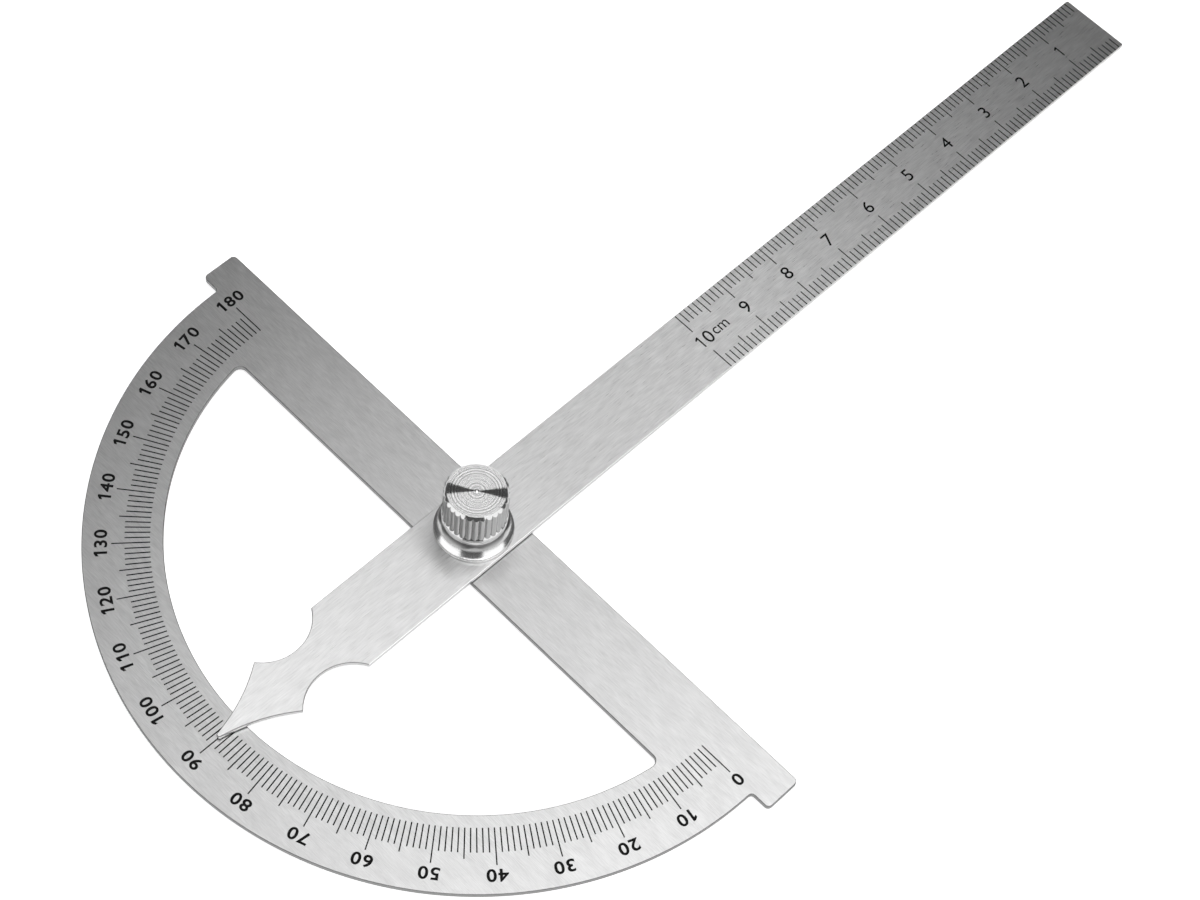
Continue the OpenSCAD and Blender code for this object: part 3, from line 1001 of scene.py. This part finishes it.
# Along the rule the upper bevels take the sides' colour, so the painted dark edge stays on the pointer
# and the lower bevels
choose(rule, 1, lambda face: 0 < face.normal.z < LEVEL and face.center.y > neck_top * MM)
dress(nut, nut_nickel, nut_top, shaded_knurl_nickel, flare_nickel)
choose(nut, 1, lambda face: face.normal.z > FACED and face.center.z > FACE_FOOT * MM)
choose(nut, 2, lambda face: abs(face.normal.z) < RIB_SIDE and face.center.z > KNURL_FOOT * MM)
choose(nut, 3, lambda face: FLARE_FOOT * MM < face.center.z < FLARE_TOP * MM)
dress(washer, washer_steel)
dress(screw, screw_steel)
for piece in (degree_marks, degree_numbers, rule_marks, rule_numbers):
    dress(piece, scale_black)
for i, mat in enumerate(nut.data.materials):
    print(mat.name, "faces:", sum(1 for face in nut.data.polygons if face.material_index == i))

# %% [markdown]
# ## Pieces ride on the moving bodies
# When the rule swings, its marks swing with it. The pieces could be parented by hand, but the part
# has a moving body for each link, so each piece rides on one of them and takes the place of its CAD
# node. The marks stand for no node and ride on the blade that they are etched into.

# %% pieces to bodies
for piece, body, node, slot in (
    (plate, "protractor", "protractor_plate", "plate_steel"),
    (screw, "protractor", "pivot_screw", "screw_steel"),
    (rule, "rule", "rule_arm", "rule_steel"),
    (washer, "clamp", "clamp_washer", "washer_steel"),
    (nut, "nut", "thumb_nut", "nut_plating"),
):
    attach(piece, body)
    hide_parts(node)
    print(piece.name, "rides on", body)
for piece, body in (
    (degree_marks, "protractor"), (degree_numbers, "protractor"),
    (rule_marks, "rule"), (rule_numbers, "rule"),
):
    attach(piece, body)
    print(piece.name, "rides on", body)

# %% [markdown]
# ## Camera
# A catalogue shows such a gauge steeply from above, rolled so that the rule rises to the upper right.
# The camera could be set by eye, but the scale marks have known places, so its place, aim, roll and
# lens were worked out from where they are seen. RIGHT and BACK, for the lights, are about the
# picture's right and the way out of its top, along the floor.

# %% camera
CAMERA_AT, AIM_AT = Vector((143.39, -158.26, 387.55)), Vector((2.917, 24.866, 2.0))
ROLL, LENS, SENSOR = 8.922, 85.14, 36.0
RIGHT, BACK = Vector((0.741, 0.671, 0)), Vector((-0.671, 0.741, 0))

camera_data = bpy.data.cameras.new("camera")
camera_data.sensor_width, camera_data.lens = SENSOR, LENS
camera_data.clip_start, camera_data.clip_end = 0.01, 50
camera = bpy.data.objects.new("camera", camera_data)
bpy.context.scene.collection.objects.link(camera)
camera.location = CAMERA_AT * MM
aim = (AIM_AT - CAMERA_AT).to_track_quat("-Z", "Y") @ Quaternion((0, 0, 1), radians(ROLL))
camera.rotation_mode = "QUATERNION"
camera.rotation_quaternion = aim
bpy.context.scene.camera = camera
print("camera's right side:", [round(c, 4) for c in aim @ Vector((1, 0, 0))])

# %% [markdown]
# ## Lights
# Polished metal shows its surroundings, so small lamps would only leave spots on it. A studio lights
# it with large panels and minds where they end. A softbox hangs over the gauge, square to the
# picture. Its far edge stops just short of where the nut's top would mirror it, which gives the two
# dark wedges, and its left edge lets the steel fall off to grey there. Two upright panels at
# the front leave a gap between them, for the dark middle of the flare. A panel's power follows from
# how bright it looks and from its area, so that its size can change alone.


# %% lights
SOFTBOX_LEFT, SOFTBOX_RIGHT, SOFTBOX_FRONT, SOFTBOX_BACK = -0.46, 1.02, -1.3, 0.848
SOFTBOX_Z, SOFTBOX_GLOW = 1.6, 2.1
PANEL_FAR, PANEL_Z, PANEL_H, PANEL_GLOW = 1.25, 0.85, 1.6, 1.1
# Each row is a panel's name, its turn from the front in degrees and its width
FRONT_PANELS = (("left_panel", -56.5, 1.41), ("right_panel", 55.5, 1.3))


def panel(name, centre, aim, width, height, glow):
    """A rectangular light that the camera doesn't see."""
    data = bpy.data.lights.new(name, "AREA")
    data.shape, data.size, data.size_y = "RECTANGLE", width, height
    data.energy = glow * pi * width * height
    light = bpy.data.objects.new(name, data)
    bpy.context.scene.collection.objects.link(light)
    light.location = centre
    light.rotation_mode = "QUATERNION"
    light.rotation_quaternion = (aim - centre).to_track_quat("-Z", "Y")
    light.visible_camera = False
    print(f"{name}: {width:.2f} x {height:.2f} m, {data.energy:.2f} W")
    return light


centre = RIGHT * (SOFTBOX_LEFT + SOFTBOX_RIGHT) / 2 + BACK * (SOFTBOX_FRONT + SOFTBOX_BACK) / 2
centre.z = SOFTBOX_Z
softbox = panel(
    "overhead_softbox", centre, centre - Vector((0, 0, 1)),
    SOFTBOX_RIGHT - SOFTBOX_LEFT, SOFTBOX_BACK - SOFTBOX_FRONT, SOFTBOX_GLOW,
)
softbox.rotation_quaternion = Quaternion((0, 0, 1), atan2(RIGHT.y, RIGHT.x))
for name, turn, width in FRONT_PANELS:
    outward = -BACK * cos(radians(turn)) + RIGHT * sin(radians(turn))
    centre = outward * PANEL_FAR + Vector((0, 0, PANEL_Z))
    panel(name, centre, Vector((0, 0, PANEL_Z)), width, PANEL_H, PANEL_GLOW)

# %% [markdown]
# ## Studio walls
# Behind the lights the studio is dim, a little more so overhead, and that is what the dark parts of
# the metal mirror. A room could be modelled, but the world's background does it without a wall. The
# camera itself sees white.

# %% world
LOW_WALL, CEILING, WHITE = 0.12, 0.09, colour("#ffffff")

world = bpy.data.worlds.new("studio_walls")
bpy.context.scene.world = world
world.use_nodes = True
tree = world.node_tree
tree.nodes.clear()
way = add(tree, "TexCoord", out="Generated")
height = add(tree, "SeparateXYZ", {"Vector": way}, out="Z")
dim = add(tree, "MapRange", {"Value": height, "To Min": LOW_WALL, "To Max": CEILING})
walls = add(tree, "Background", {"Color": WHITE, "Strength": dim})
white = add(tree, "Background", {"Color": WHITE, "Strength": 1.0})
seen = add(tree, "LightPath", out="Is Camera Ray")
mixed = add(tree, "MixShader", {"Fac": seen, 1: walls, 2: white})
add(tree, "OutputWorld", {"Surface": mixed})
print("studio walls:", LOW_WALL, "to", CEILING)

# %% [markdown]
# ## Floor
# The gauge lies on a pale matt sweep. More light would make it white, but would burn out the steel
# too. So to the camera the sweep also glows, comes out white, and still keeps the soft shadow. In
# reflections it glows about a third as much, so that the metal mirrors a pale floor and not a lamp.

# %% floor
FLOOR_SIZE, FLOOR_GAP, PALE = 20, 0.02, "#e7e7e7"
GLOW, MIRRORED = 0.7, 0.35

bpy.ops.object.select_all(action="DESELECT")
bpy.ops.mesh.primitive_plane_add(size=FLOOR_SIZE, location=(0, 0, -FLOOR_GAP * MM))
floor = bpy.context.object
floor.name = floor.data.name = "studio_floor"
mat, tree = material("pale_floor")
matt = add(tree, "BsdfDiffuse", {"Color": colour(PALE)})
glow = add(tree, "Emission", {"Color": WHITE, "Strength": GLOW})
bright = add(tree, "AddShader", {0: matt, 1: glow})
glossy = add(tree, "LightPath", out="Is Glossy Ray")
mirrored = add(tree, "Math", {0: glossy, 1: MIRRORED}, operation="MULTIPLY")
direct = add(tree, "LightPath", out="Is Camera Ray")
seen = add(tree, "Math", {0: direct, 1: mirrored}, operation="MAXIMUM")
sweep = add(tree, "MixShader", {"Fac": seen, 1: matt, 2: bright})
add(tree, "OutputMaterial", {"Surface": sweep})
dress(floor, mat)

# %% [markdown]
# ## Colours
# The scene could be graded like a film, but a library part has to look the same anywhere, and
# the Standard view shows each colour about as it is written.

# %% view settings and finish
bpy.context.scene.view_settings.view_transform = "Standard"
